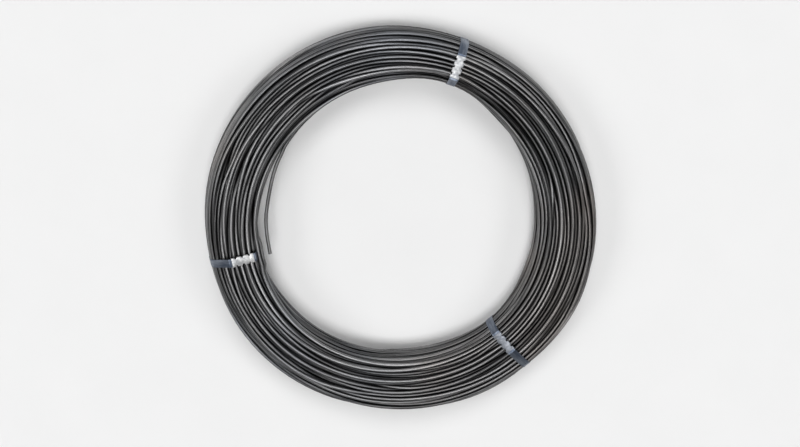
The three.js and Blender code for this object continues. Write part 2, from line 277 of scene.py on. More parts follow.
def section_of(ring, degrees=None, squeeze=0):
    """The winding's outline at an angle round the ring, or the mean one, squeezed by 0 to 1.

    Where the wall is thinner it is higher, so that it holds the same turns, and it stands on the floor."""
    inner, outer = -ring.radial_build / 2, ring.radial_build / 2
    if degrees is not None:
        inner = inner + waves_at(BORE_WAVES, degrees)
        outer = outer + waves_at(OUTSIDE_WAVES, degrees)
    half_height = ring.axial_build / 2 * (ring.radial_build / (outer - inner)) ** HEIGHT_SHARE
    up = half_height - ring.axial_build / 2
    inner = inner + ring.bore_squeeze * squeeze
    outer = outer - ring.outside_squeeze * squeeze
    end_squeeze = ring.end_squeeze * squeeze
    sizes = ((outer - inner) / 2, half_height - end_squeeze, ring.corner - end_squeeze)
    return Section((inner + outer) / 2, up, *sizes)


def smooth(value):
    """Rises smoothly from 0 to 1 as value does."""
    value = np.clip(value, 0, 1)
    return value * value * (3 - 2 * value)


def degrees_apart(a, b):
    return np.abs((a - b + FULL_TURN / 2) % FULL_TURN - FULL_TURN / 2)


def squeeze_at(degrees):
    nearest = np.min([degrees_apart(degrees, tie.degrees) for tie in TIES], axis=0)
    return 1 - smooth((nearest - SQUEEZE_FULL) / (SQUEEZE_REACH - SQUEEZE_FULL))


def slow_noise(rng, count, spacing):
    """A wandering pair of numbers for each point: a smooth curve through random knots."""
    knots = rng.normal(size=(int(count / spacing) + 4, 2))
    place = np.arange(count) / spacing + 1
    before = place.astype(int)
    t = (place - before)[:, None]
    a, b, c, d = (knots[before + k] for k in (-1, 0, 1, 2))
    return b + 0.5 * t * (c - a + t * (2 * a - 5 * b + 4 * c - d + t * (3 * (b - c) + d - a)))


def rows_of_slots(ring, pitch):
    """Places for the turns in rows up and down the section, from the bore outwards.

    Each row starts half a pitch higher or lower than the one before, and is read the other way."""
    section = section_of(ring).inset(ring.rod / 2)
    rows = []
    for k, x in enumerate(np.arange(-section.half_width, section.half_width, pitch * math.sqrt(3) / 2)):
        y = np.arange(-section.half_height, section.half_height, pitch) + (k % 2) * pitch / 2
        row = np.stack([np.full_like(y, x), y], -1)
        row = row[section.outside(row)[0] <= 0]
        rows.append(row[::-1] if k % 2 == 0 else row)
    return rows


def slots_for(ring):
    """A place for each turn. The first three lie on the bore's upper corner, where the inner end is."""
    tight, loose = (ring.rod * diameters for diameters in PITCH_RANGE)
    while loose - tight > ring.rod * PITCH_STEP:
        pitch = (loose + tight) / 2
        if sum(map(len, rows_of_slots(ring, pitch))) > ring.turns:
            tight = pitch
        else:
            loose = pitch
    rows = rows_of_slots(ring, tight)
    first = [rows[0][:1], rows[1][-1:], rows[2][:1]]
    rest = [rows[0][1:], rows[1][:-1], rows[2][1:], *rows[3:]]
    return np.vstack(first + rest)[: ring.turns + 1]


def wandering_lay(rng, ring):
    """Where the turns lie in the mean section before they settle.

    Each starts on its slot and drifts to the next one, and wanders on the way."""
    slots = slots_for(ring)
    share = (np.arange(STATIONS) / STATIONS)[:, None]
    lay = (slots[:-1, None] * (1 - share) + slots[1:, None] * share).reshape(-1, 2)
    return lay + slow_noise(rng, len(lay), STATIONS * WANDER_KNOT) * ring.wander


def on_corner(section, sides, turn, distance):
    """A point at a distance from the middle of one of a section's corners, at a turn round it."""
    turn = math.radians(turn)
    x = section.across + sides[0] * (section.half_width - section.corner) + distance * math.cos(turn)
    y = section.up + sides[1] * (section.half_height - section.corner) + distance * math.sin(turn)
    return np.stack([x, y], -1)


def inner_end_lay(ring, degrees):
    """Where the loose inner end lies in the section, at some angles round the ring."""
    surface = (ring.rod - ring.radial_build) / 2 + waves_at(BORE_WAVES, degrees)
    risen = smooth((degrees - INNER_JOIN) / (END_RISE * (INNER_TIP - INNER_JOIN)))
    hooked = smooth(1 + (degrees - INNER_TIP) / INNER_HOOK_DEGREES)
    x = surface - INNER_LIFT * risen - INNER_HOOK * hooked
    return np.stack([x, np.full_like(x, INNER_HEIGHT - ring.middle_height)], -1)


def outer_end_lay(ring, degrees, to_tip):
    """Where the loose outer end lies in the section, at some angles that are some degrees from its tip."""
    radius = ring.rod / 2
    risen = smooth((1 - to_tip / (OUTER_JOIN - OUTER_TIP)) / END_RISE)
    distance = ring.corner - radius + 2 * radius * risen
    return on_corner(section_of(ring, degrees), (1, -1), OUTER_END_TURN, distance)


def from_bare_lap(tie, bare, count):
    """How many stations each point of the rod is from where a bare lap passes its tie."""
    return np.abs(np.arange(count) - (INNER_TIP - tie.degrees + FULL_TURN * bare.number) / STATION_DEGREES)


def known_lay(ring, degrees, last):
    """The places of the stretches that are known, and nan for the rest.

    These are the two loose ends, and the turns that pass outside a strap."""
    count = len(degrees)
    known = np.full((count, 2), np.nan)
    inner = degrees > INNER_JOIN
    known[inner] = inner_end_lay(ring, degrees[inner])
    for tie in TIES:
        strap = section_of(ring, tie.degrees, 1)
        for bare in tie.bare_laps:
            over_strap = on_corner(strap, (-1, 1), bare.turn, strap.corner + bare.lift + ring.rod / 2)
            known[from_bare_lap(tie, bare, count) <= BARE_STATIONS] = over_strap
    to_tip = (last - np.arange(count)) * STATION_DEGREES
    outer = (to_tip >= 0) & (to_tip < OUTER_JOIN - OUTER_TIP)
    known[outer] = outer_end_lay(ring, degrees[outer], to_tip[outer])
    return known


def groove_finder(rng, degrees, deepest):
    """A function that gives the grooves' depth at each station, for where its turn lies round the section."""
    along = rng.integers(*GROOVE_ALONG, GROOVE_WAVES)[:, None]
    around = rng.integers(*GROOVE_AROUND, GROOVE_WAVES)[:, None]
    phase = rng.uniform(0, 2 * math.pi, GROOVE_WAVES)[:, None]

    def depth(bearing):
        waves = np.sin(along * np.radians(degrees) + around * bearing + phase)
        height = waves.sum(0) / math.sqrt(GROOVE_WAVES / 2)
        share = smooth((height - GROOVE_START) / GROOVE_RAMP)
        return deepest * share * (1 - SIDES_EVEN * np.cos(bearing) ** 2)

    return depth


def near_pairs(lay, gone, reach):
    """Pairs of points of the rod that lie beside each other at the same station."""
    turns = len(lay) // STATIONS
    grid = np.where(gone[:, None], np.nan, lay).reshape(turns, STATIONS, 2)
    apart = np.linalg.norm(grid[:, None] - grid[None], axis=-1)
    a, b, station = np.nonzero(np.triu(np.ones((turns, turns), bool), 1)[..., None] & (apart < reach))
    return a * STATIONS + station, b * STATIONS + station


def lengths_of(between, ring):
    """How far apart two turns are along each way between them."""
    return np.maximum(np.hypot(*between.T), ring.rod / 2 * LEAST_APART)


@lru_cache
def wound_rod(ring):
    """The middle of the rod from its inner tip to its outer one: its angles and its places in the section."""
    rng = np.random.default_rng(ring.seed)
    count = ring.turns * STATIONS
    index = np.arange(count)  # of the stations, from the inner tip
    degrees = INNER_TIP - index * STATION_DEGREES
    last = round((INNER_TIP - OUTER_TIP) / STATION_DEGREES) + count  # the outer tip
    squeeze = squeeze_at(degrees)
    lay = section_of(ring).fitted(wandering_lay(rng, ring), section_of(ring, degrees, squeeze))

    # No tie squeezes a turn that passes outside it.
    for tie in TIES:
        for bare in tie.bare_laps:
            squeeze[from_bare_lap(tie, bare, count) <= SQUEEZE_REACH / STATION_DEGREES] = 0

    known = known_lay(ring, degrees, last)
    held = ~np.isnan(known[:, 0])
    lay[held] = known[held]
    gone = index > last
    sunk = ring.uneven * np.maximum(slow_noise(rng, count, STATIONS * SINK_KNOT)[:, 0], 0)
    to_held = np.abs(index[:, None] - np.flatnonzero(np.diff(held))).min(1) * STATION_DEGREES
    deepest = ring.groove * smooth(to_held / CALM_DEGREES) * (1 - GROOVE_LOST * squeeze)
    groove_depth = groove_finder(rng, degrees, deepest)
    surface = section_of(ring, degrees, squeeze).inset(ring.rod / 2)
    for _ in range(SETTLE_ROUNDS):
        first, second = near_pairs(lay, gone, ring.rod * NEAR_SHARE)
        for _ in range(STEPS_A_ROUND):
            between = lay[first] - lay[second]
            apart = lengths_of(between, ring)
            push = between * (PUSH_SHARE * np.maximum(ring.rod - apart, 0) / apart)[:, None]
            for axis in (0, 1):
                lay[:, axis] += np.bincount(first, push[:, axis], count)
                lay[:, axis] -= np.bincount(second, push[:, axis], count)
            depth = groove_depth(np.arctan2(lay[:, 1] - surface.up, lay[:, 0] - surface.across)) + sunk
            distance, out = surface.outside(lay)
            lay -= out * (WALL_SHARE * np.maximum(distance + depth, 0))[:, None]
            lay[1:-1] += STRAIGHTEN_SHARE * (lay[:-2] + lay[2:] - 2 * lay[1:-1])
            lay[held] = known[held]
    return degrees[: last + 1], lay[: last + 1]


def rod_points(ring):
    """The middle of the rod in space, from its inner tip to its outer one."""
    degrees, lay = wound_rod(ring)
    turned = np.radians(degrees)
    out = ring.middle_radius + lay[:, 0]
    return np.stack([out * np.cos(turned), out * np.sin(turned), ring.middle_height + lay[:, 1]], -1)


# ---- the rod ----


def new_mesh(name, bm):
    mesh = bpy.data.meshes.new(name)
    bm.to_mesh(mesh)
    bm.free()
    return mesh


@lru_cache
def turns_beside(ring):
    """Each point of the rod with each one beside it: its index, the way there, and how close they lie."""
    _, lay = wound_rod(ring)
    whole = np.vstack([lay, np.full((-len(lay) % STATIONS, 2), np.nan)])
    first, second = near_pairs(whole, np.isnan(whole[:, 0]), ring.rod * BESIDE[1])
    index = np.concatenate([first, second])
    between = lay[np.concatenate([second, first])] - lay[index]
    apart = lengths_of(between, ring)
    close = 1 - smooth((apart / ring.rod - BESIDE[0]) / (BESIDE[1] - BESIDE[0]))
    return index, between / apart[:, None], close


def painted_shade_finder(ring, first, last):
    """A function that tells how far the surface of a stretch of the rod is clear of the turns beside it.

    It takes the ways out of the rod's middle at each point, and gives 0 to 1 for each: the painted light that
    the rod's colour keeps, low where it is painted in shade by the turns beside it."""
    index, towards, close = turns_beside(ring)
    inside = (index >= first) & (index <= last)
    index, towards, close = index[inside] - first, towards[inside], close[inside]

    def clear(ways):
        # painted shade that each turn beside a point lays on it, as a share
        hidden = close * smooth(np.einsum("nkc,nc->kn", ways[index], towards))
        logs = [np.bincount(index, row, len(ways)) for row in np.log1p(-PAINTED_SHADE_MOST * hidden)]
        return np.exp(logs).T

    return clear


def round_bar(name, points, radius):
    """A round bar along points, with its two ends closed but not yet joined to it."""
    curve = bpy.data.curves.new(name, "CURVE")
    curve.dimensions = "3D"
    curve.bevel_depth = radius
    curve.bevel_resolution = BAR_SIDES // 2 - 2  # a bevel has four sides, and two more for each step
    curve.use_fill_caps = True
    curve.twist_mode = "Z_UP"
    spline = curve.splines.new("POLY")
    spline.points.add(len(points) - 1)
    spline.points.foreach_set("co", np.column_stack([points, np.ones(len(points))]).ravel())
    maker = bpy.data.objects.new(name, curve)
    bpy.context.scene.collection.objects.link(maker)
    made = maker.evaluated_get(bpy.context.evaluated_depsgraph_get())
    mesh = bpy.data.meshes.new_from_object(made)
    bpy.data.objects.remove(maker)
    mesh.name = name
    return mesh


def rod_mesh(name, points, radius, start, clear):
    """A stretch of the rod, and the length from the rod's tip at which it ends.

    Its rod_lay attribute holds the length from the tip and the place round the rod, and a second attribute
    what clear
    tells: the painted light of the rod's colour, which is low where the rod is painted in shade."""
    mesh = round_bar(name, points, radius)

    # The two caps' rims come first in the mesh, the far one before the near one.
    at = np.repeat(np.arange(len(points)), BAR_SIDES)
    at = np.concatenate([np.full(BAR_SIDES, len(points) - 1), np.zeros(BAR_SIDES, int), at])
    along = start + np.concatenate([[0], np.cumsum(np.linalg.norm(np.diff(points, axis=0), axis=1))])
    corners = np.empty(len(mesh.vertices) * 3, np.float32)
    mesh.vertices.foreach_get("co", corners)
    offset = corners.reshape(-1, 3) - points[at]
    outwards = points[at] * (1, 1, 0)
    outwards /= np.linalg.norm(outwards, axis=1)[:, None]
    lay = np.column_stack([along[at], (offset * outwards).sum(1), offset[:, 2]])
    mesh.attributes.new("rod_lay", "FLOAT_VECTOR", "POINT").data.foreach_set("vector", lay.ravel())
    # painted shade: the rod's colour is darkened where the turns beside it hide its surface
    painted_light = clear(lay[2 * BAR_SIDES :, 1:].reshape(len(points), BAR_SIDES, 2) / radius)
    painted_light = np.concatenate([painted_light[-1], painted_light[0], painted_light.ravel()])
    mesh.attributes.new("painted_light", "FLOAT", "POINT").data.foreach_set("value", painted_light.astype(np.float32))

    bm = bmesh.new()
    bm.from_mesh(mesh)
    bmesh.ops.remove_doubles(bm, verts=bm.verts, dist=radius * SAME_POINT)
    mesh = new_mesh(name, bm)
    mesh.set_sharp_from_angle(angle=math.radians(SHARP_DEGREES))
    return mesh, along[-1]


# ---- the ties ----


def convex_hull(points):
    """The corners of the tightest loop round some points, clockwise."""

    def chain(ordered):
        kept = []
        for point in ordered:
            while len(kept) > 1 and np.linalg.det([kept[-1] - kept[-2], point - kept[-2]]) >= 0:
                kept.pop()
            kept.append(point)
        return kept[:-1]

    ordered = points[np.lexsort(points.T[::-1])]
    return np.array(chain(ordered) + chain(ordered[::-1]))


def rod_under_tie(ring, tie, half_width):
    """Where the turns that a tie holds cross the planes of its middle and its sides, seen along the rod."""
    _, lay = wound_rod(ring)
    first = (INNER_TIP - tie.degrees) % FULL_TURN
    loose = {bare.number for bare in tie.bare_laps}
    if first < INNER_TIP - INNER_JOIN:
        loose.add(0)  # the inner end
    laps = np.array([lap for lap in range(ring.turns) if lap not in loose])
    index = np.arange(len(lay))
    crossings = []
    for turned in np.degrees(half_width / ring.middle_radius) * np.array([-1, 0, 1]):
        held = (first + turned) / STATION_DEGREES + STATIONS * laps
        held = held[held < len(lay) - 1]
        x, y = (np.interp(held, index, lay[:, axis]) for axis in (0, 1))
        x = (ring.middle_radius + x) * math.cos(math.radians(turned)) - ring.middle_radius
        crossings.append(np.stack([x, y], -1))
    return np.vstack(crossings)


class Loop:
    """A tie's way round the winding, in its plane, clockwise from the inner end of its straight part.

    The straight part carries the seal, and lies on the highest turns there."""

    def __init__(self, ring, tie, ties):
        around = np.linspace(0, 2 * math.pi, 1 + RIM_SIDES)[:-1]
        rim = np.stack([np.cos(around), np.sin(around)], -1) * (ring.rod / 2 + SEAT_GAP)
        turns = rod_under_tie(ring, tie, ties.strap_width / 2)
        hull = convex_hull((turns[:, None] + rim).reshape(-1, 2))

        # The straight part's ends are on the hull's upper side, and are then raised clear of all of it.
        half = ties.seal_length / 2 + STRAP_TAIL
        upper = hull[hull[:, 1] > 0]
        upper = upper[np.argsort(upper[:, 0])]
        places = (tie.seal_place - half, tie.seal_place + half)
        ends = np.array([[x, np.interp(x, *upper.T)] for x in places])
        along = (ends[1] - ends[0]) / np.linalg.norm(ends[1] - ends[0])
        out = np.array([-along[1], along[0]])
        ends += out * (SEAT_GAP + ((hull - ends[0]) @ out).max())

        corners = convex_hull(np.vstack([hull, ends]))
        corners = np.roll(corners, -np.argmin(np.linalg.norm(corners - ends[0], axis=1)), axis=0)
        sides = np.roll(corners, -1, axis=0) - corners
        lengths = np.linalg.norm(sides, axis=1)
        outwards = np.stack([-sides[:, 1], sides[:, 0]], -1) / lengths[:, None]
        at_corner = outwards + np.roll(outwards, 1, axis=0)
        self.corners = corners
        self.outwards = at_corner / np.linalg.norm(at_corner, axis=1)[:, None]
        self.outwards[:2] = out
        self.distances = np.concatenate([[0], np.cumsum(lengths)])
        self.length = self.distances[-1]
        self.overlap = 2 * half

    def at(self, distance):
        """The point at a distance along the loop, and the way out from it."""
        place = distance % self.length
        values = [np.append(axis, axis[0]) for axis in (*self.corners.T, *self.outwards.T)]
        found = np.array([np.interp(place, self.distances, axis) for axis in values])
        return found[:2], found[2:] / np.linalg.norm(found[2:])


def tie_frame(ring, tie, point, out):
    """A matrix for a place on a tie: x runs along the strap, y across it and z out from the winding."""
    turned = Matrix.Rotation(math.radians(tie.degrees), 4, "Z")
    along = turned @ Vector((out[1], 0, -out[0]))
    up = turned @ Vector((out[0], 0, out[1]))
    place = Vector((ring.middle_radius + point[0], 0, ring.middle_height + point[1]))
    matrix = Matrix((along, up.cross(along), up)).transposed().to_4x4()
    matrix.translation = turned @ place
    return matrix


def swept(outline, frames, lengths):
    """A bar with an outline in y and z, run through a row of frames.

    Its lay attribute holds the length along the bar, and the place across and through it."""
    bm = bmesh.new()
    lay = bm.verts.layers.float_vector.new("lay")
    corners = [bm.verts.new((0, y, z)) for y, z in outline]
    for corner in corners:
        corner[lay] = (lengths[0], corner.co.y, corner.co.z)
    edges = list(bm.faces.new(corners).edges)
    bmesh.ops.transform(bm, matrix=frames[0], verts=corners)
    for before, after, length in zip(frames, frames[1:], lengths[1:]):
        made = bmesh.ops.extrude_edge_only(bm, edges=edges)["geom"]
        moved = {item for item in made if isinstance(item, bmesh.types.BMVert)}
        edges = [item for item in made if isinstance(item, bmesh.types.BMEdge)]
        edges = [edge for edge in edges if moved.issuperset(edge.verts)]
        for vert in moved:
            vert[lay] = (length, *vert[lay].yz)
        bmesh.ops.transform(bm, matrix=after @ before.inverted(), verts=list(moved))
    bmesh.ops.contextual_create(bm, geom=edges)
    bmesh.ops.recalc_face_normals(bm, faces=bm.faces)
    return bm


def rounded_outline(width, height, radius):
    """A rectangle with round corners that stands on y, in order round its edge."""
    points = []
    for k, (side_y, side_z) in enumerate(((1, 1), (-1, 1), (-1, -1), (1, -1))):
        for step in range(CORNER_STEPS + 1):
            turn = math.radians(90 * (k + step / CORNER_STEPS))
            y = side_y * (width / 2 - radius) + radius * math.cos(turn)
            z = side_z * (height / 2 - radius) + radius * math.sin(turn)
            points.append((y, z + height / 2))
    return points


def notch_places():
    return (np.arange(NOTCH_PAIRS) - (NOTCH_PAIRS - 1) / 2) * NOTCH_PITCH


def strap_mesh(ring, tie, ties):
    """A strap that laps over its own start under the seal, and is nipped in where the seal is notched."""
    loop = Loop(ring, tie, ties)
    seated = ties.seal_sheet + SLEEVE_GAP
    lapped = seated + ties.strap_thickness + LAYER_GAP
    over = loop.overlap

    # How high it lies on its way: inside the seal, down, round the turns, up, and over its start in the seal.
    keys = [0, over, over + STRAP_RAMP, loop.length - STRAP_RAMP, loop.length, loop.length + over]
    heights = [seated, seated, 0, 0, lapped, lapped]

    folds = np.concatenate([loop.distances, loop.distances[1:] + loop.length])
    ramps = [np.linspace(*ends, RAMP_POINTS) for ends in (keys[1:3], keys[3:5])]
    notches = np.array([lap + over / 2 + place for lap in (0, loop.length) for place in notch_places()])
    cuts = np.add.outer(notches, np.array(NOTCH_CORNERS) * NOTCH_LENGTH).ravel()
    lengths = np.unique(np.concatenate([[keys[0], keys[-1]], folds[folds < keys[-1]], cuts, *ramps]))
    lengths = lengths[np.concatenate([[True], np.diff(lengths) > LEAST_FOLD])]
    half_width = ties.strap_width / 2
    seal_edge = half_width + SLEEVE_GAP + ties.seal_sheet
    notch_ends = (NOTCH_CORNERS[2] * NOTCH_LENGTH, NOTCH_CORNERS[3] * NOTCH_LENGTH)
    frames = []
    for length in lengths:
        point, out = loop.at(length)
        part = max(k for k in range(len(keys) - 1) if length >= keys[k])
        share = smooth((length - keys[part]) / (keys[part + 1] - keys[part]))
        height = heights[part] + (heights[part + 1] - heights[part]) * share
        depth = np.interp(np.abs(notches - length).min(), notch_ends, (NOTCH_DEPTH, 0))
        narrowed = Matrix.Diagonal((1, min(1, (seal_edge - depth) / half_width), 1, 1))
        frames.append(tie_frame(ring, tie, point + out * height, out) @ narrowed)
    outline = rounded_outline(ties.strap_width, ties.strap_thickness, ties.strap_thickness * STRAP_EDGE)
    mesh = new_mesh(f"tie_strap_{tie.number}", swept(outline, frames, lengths))
    mesh.set_sharp_from_angle(angle=math.radians(SHARP_DEGREES))
    return mesh


def notch_cutters(edge, bottom, top):
    """Bodies that cut the notches out of a seal's two edges, from under it to over it."""
    bm = bmesh.new()
    ways_out = (edge + SLEEVE_GAP, edge - NOTCH_DEPTH, edge - NOTCH_DEPTH, edge + SLEEVE_GAP)
    for place in notch_places():
        for side in (-1, 1):
            outline = [(place + k * NOTCH_LENGTH, side * out) for k, out in zip(NOTCH_CORNERS, ways_out)]
            corners = [bm.verts.new((*point, bottom)) for point in outline]
            made = bmesh.ops.extrude_face_region(bm, geom=[bm.faces.new(corners)])["geom"]
            raised = [item for item in made if isinstance(item, bmesh.types.BMVert)]
            bmesh.ops.translate(bm, verts=raised, vec=(0, 0, top - bottom))
    bmesh.ops.recalc_face_normals(bm, faces=bm.faces)
    return bm


def cut_and_rounded(mesh, cutters):
    """A seal's mesh with its notches cut out and its cut edges rounded."""
    cutter = bpy.data.objects.new("notches", new_mesh("notches", cutters))
    shaper = bpy.data.objects.new("shaper", mesh)
    for thing in (cutter, shaper):
        bpy.context.scene.collection.objects.link(thing)
    cut = shaper.modifiers.new("notches", "BOOLEAN")
    cut.object = cutter
    cut.operation = "DIFFERENCE"
    rounding = shaper.modifiers.new("edges", "BEVEL")
    rounding.width = SEAL_EDGE
    rounding.segments = 2
    rounding.limit_method = "ANGLE"
    rounding.angle_limit = math.radians(SHARP_DEGREES)
    made = shaper.evaluated_get(bpy.context.evaluated_depsgraph_get())
    finished = bpy.data.meshes.new_from_object(made)
    for thing in (cutter, shaper):
        bpy.data.objects.remove(thing)
    finished.name = mesh.name
    finished.set_sharp_from_angle(angle=math.radians(SHARP_DEGREES))
    return finished


def seal_mesh(ring, tie, ties):
    """A folded sleeve of sheet round both laps of the strap, with its edges notched in pairs."""
    loop = Loop(ring, tie, ties)
    point, out = loop.at(loop.overlap / 2)
    seat = tie_frame(ring, tie, point, out)
    sheet = ties.seal_sheet
    inner_width = ties.strap_width + 2 * SLEEVE_GAP
    inner_height = 2 * ties.strap_thickness + LAYER_GAP + 2 * SLEEVE_GAP
    outer_width = inner_width + 2 * sheet
    inner = [(y, z + sheet) for y, z in rounded_outline(inner_width, inner_height, SLEEVE_GAP)]
    outer = rounded_outline(outer_width, inner_height + 2 * sheet, sheet)

    # The outlines are opened at the middle of their underside, where the sheet's two flanges end.
    flange = outer_width / 2 - SEAL_FLANGE
    last = 3 * (CORNER_STEPS + 1)  # the first point of the outlines' last corner, beside the open side
    outside = [(flange, 0), *outer[last:], *outer[:last], (-flange, 0)]
    inside = [(flange, sheet), *inner[last:], *inner[:last], (-flange, sheet)]
    ends = [seat @ Matrix.Translation((side * ties.seal_length / 2, 0, 0)) for side in (-1, 1)]
    mesh = new_mesh(f"tie_seal_{tie.number}", swept(outside + inside[::-1], ends, (0, ties.seal_length)))
    cutters = notch_cutters(outer_width / 2, -sheet, inner_height + 3 * sheet)
    bmesh.ops.transform(cutters, matrix=seat, verts=cutters.verts)
    return cut_and_rounded(mesh, cutters)


# ---- finishes ----


def new_tree(name):
    material = bpy.data.materials.new(name)
    material.use_nodes = True
    material.node_tree.nodes.clear()
    return material, material.node_tree


def node(tree, kind, inputs, **settings):
    """Adds a shader node. inputs gives its sockets values, or links them from other nodes."""
    made = tree.nodes.new("ShaderNode" + kind)
    for name, value in settings.items():
        setattr(made, name, value)
    for socket, value in inputs.items():
        if isinstance(value, bpy.types.NodeSocket):
            tree.links.new(value, made.inputs[socket])
        else:
            made.inputs[socket].default_value = value
    return made


def noise(tree, vector, scales, detail=2.0):
    """Noise from 0 to 1, with its own scale along each axis of a vector."""
    placed = node(tree, "Mapping", {"Vector": vector, "Scale": scales})
    inputs = {"Vector": placed.outputs[0], "Scale": 1.0, "Detail": detail}
    return node(tree, "TexNoise", inputs).outputs["Fac"]


def mapped(tree, value, low, high, start=0.0, end=1.0):
    """Takes low to high onto start to end, and holds what lies past them."""
    inputs = {"Value": value, "From Min": low, "From Max": high, "To Min": start, "To Max": end}
    return node(tree, "MapRange", inputs).outputs[0]


def mixed(tree, share, one, other, blend="MIX"):
    """Two colours mixed. share is the second one's."""
    inputs = {0: share, 6: one, 7: other}
    return node(tree, "Mix", inputs, data_type="RGBA", blend_type=blend).outputs[2]


def combined(tree, operation, one, other):
    return node(tree, "Math", {0: one, 1: other}, operation=operation).outputs[0]


def part_of(tree, vector, axis):
    return node(tree, "SeparateXYZ", {0: vector}).outputs[axis]


def attribute(tree, name, output="Vector"):
    return node(tree, "Attribute", {}, attribute_name=name).outputs[output]


def place_on(tree, coordinates="Object"):
    return node(tree, "TexCoord", {}).outputs[coordinates]


def opaque(colour):
    return (*colour, 1)


def finish(tree, colour, roughness, height, depth, **constants):
    """Adds a material's shader and its output. height is a bump of some depth."""
    bump = node(tree, "Bump", {"Height": height, "Distance": depth, "Strength": 1.0})
    inputs = {"Base Color": colour, "Roughness": roughness, "Normal": bump.outputs[0], **constants}
    shader = node(tree, "BsdfPrincipled", inputs)
    node(tree, "OutputMaterial", {"Surface": shader.outputs[0]})


def wire_material(rod):
    """Mill scale: dark grey, lighter in streaks along the rod, painted light where it stands clear of other
    turns and painted shade where they hide it.

    It is brown and blue where it cooled unevenly."""
    material, tree = new_tree("mill_scale")
    lay = attribute(tree, "rod_lay")
    place = place_on(tree)
    tone = mapped(tree, noise(tree, lay, MILL_TONES, FINE_DETAIL), *NOISE_SPAN)
    streaks = noise(tree, lay, MILL_STREAKS, FINE_DETAIL)
    lightness = mapped(tree, combined(tree, "ADD", tone, streaks), *MILL_LIGHT_SPAN)
    # painted shade: the streaked tone is darkened where the turns beside the rod hide it
    light = combined(tree, "MULTIPLY", lightness, attribute(tree, "painted_light", "Fac"))
    colour = mixed(tree, light, opaque(rod.dark_scale_and_shade), opaque(rod.light_scale))
    for tint, scales in ((rod.brown_scale, MILL_BROWN), (rod.blue_scale, MILL_BLUE)):
        share = mapped(tree, noise(tree, place, scales), *MILL_TINT_SPAN, 0, MILL_TINT_MOST)
        colour = mixed(tree, share, colour, opaque(tint), "SOFT_LIGHT")
    roughness = mapped(tree, streaks, *NOISE_SPAN, *MILL_ROUGHNESS)
    relief = combined(tree, "ADD", streaks, noise(tree, lay, MILL_FLECKS))
    finish(tree, colour, roughness, relief, MILL_RELIEF, Metallic=1.0)
    return material


def strap_material(ties):
    """Blued steel strap, brighter where its edges and face rub."""
    material, tree = new_tree("blued_strap")
    lay = attribute(tree, "lay")
    from_middle = node(tree, "Math", {0: part_of(tree, lay, 1)}, operation="ABSOLUTE").outputs[0]
    half = ties.strap_width / 2
    scratches = noise(tree, lay, STRAP_SCRATCHES, FINE_DETAIL)
    edge = mapped(tree, from_middle, half * STRAP_WORN_FROM, half, 0, STRAP_WORN_MOST)
    face = mapped(tree, noise(tree, lay, STRAP_PATCHES, FINE_DETAIL), *STRAP_PATCH_SPAN)
    rubbed = combined(tree, "MAXIMUM", face, edge)
    worn = combined(tree, "MULTIPLY", rubbed, mapped(tree, scratches, *STRAP_SCRATCH_SPAN))
    colour = mixed(tree, worn, opaque(ties.strap_blue), opaque(ties.strap_bright))
    roughness = mapped(tree, scratches, *NOISE_SPAN, *STRAP_ROUGHNESS)
    finish(tree, colour, roughness, scratches, STRAP_RELIEF, Metallic=COAT_METALLIC)
    return material


def seal_material(ties, tie):
    """Zinc with faint spangle, dull in random patches, and darkened seal by seal as painted shade."""
    material, tree = new_tree(f"zinc_seal_{tie.number}")
    place = place_on(tree)
    cells = node(tree, "TexVoronoi", {"Vector": place, "Scale": ZINC_SPANGLES}).outputs["Color"]
    spangle = part_of(tree, cells, 0)
    dulling_and_shade = (tie.dulling_and_shade, 0.5 + tie.dulling_and_shade / 2)  # its painted shade, the least share of dull zinc, and halfway from there to all dull
    grime_and_shade = mapped(tree, noise(tree, place, ZINC_GRIME, FINE_DETAIL), *ZINC_GRIME_SPAN, *dulling_and_shade)
    shade = mapped(tree, spangle, 0, 1, 0, ZINC_SPANGLE_MOST)
    colour = mixed(tree, shade, opaque(ties.zinc), opaque(ties.dull_zinc_and_shade))
    # random dull patches, over the painted shade that differs from seal to seal
    colour = mixed(tree, grime_and_shade, colour, opaque(ties.dull_zinc_and_shade))
    roughness = mapped(tree, spangle, 0, 1, *ZINC_ROUGHNESS)
    finish(tree, colour, roughness, noise(tree, place, ZINC_GRAIN), ZINC_RELIEF, Metallic=COAT_METALLIC)
    return material


def floor_material(stage):
    """A matt pale floor with the faintest unevenness."""
    material, tree = new_tree("pale_floor")
    place = place_on(tree)
    cloud = mapped(tree, noise(tree, place, FLOOR_CLOUDS, FINE_DETAIL), *NOISE_SPAN)
    clouded = [FLOOR_CLOUDED * part for part in stage.floor_colour]
    colour = mixed(tree, cloud, opaque(stage.floor_colour), opaque(clouded))
    finish(tree, colour, FLOOR_ROUGHNESS, noise(tree, place, FLOOR_GRAIN), FLOOR_RELIEF)
    return material


# ---- the stage ----


def soft_lamp(name, strength, place):
    """A broad lamp so far off that it lights the whole floor alike. place gives its direction."""
    lamp = bpy.data.lights.new(name, "SUN")
    lamp.energy = strength
    lamp.angle = LAMP_SPREAD
    made = bpy.data.objects.new(name, lamp)
    made.location = place
    made.rotation_euler = Vector(place).to_track_quat("Z", "Y").to_euler()
    bpy.context.scene.collection.objects.link(made)


def studio_world(stage):
    """Pale walls all round that fade out upwards."""
    world = bpy.data.worlds.new("studio")
    world.use_nodes = True
    tree = world.node_tree
    tree.nodes.clear()
    upwards = part_of(tree, place_on(tree, "Generated"), 2)
    strength = mapped(tree, upwards, *HORIZON, stage.walls, stage.ambient)
    background = node(tree, "Background", {"Color": (1, 1, 1, 1), "Strength": strength})
    node(tree, "OutputWorld", {"Surface": background.outputs[0]})
    return world


def lay_floor(stage):
    bm = bmesh.new()
    bmesh.ops.create_grid(bm, x_segments=1, y_segments=1, size=FLOOR_REACH)
    floor = bpy.data.objects.new("floor", new_mesh("floor", bm))
    floor.data.materials.append(floor_material(stage))
    bpy.context.scene.collection.objects.link(floor)


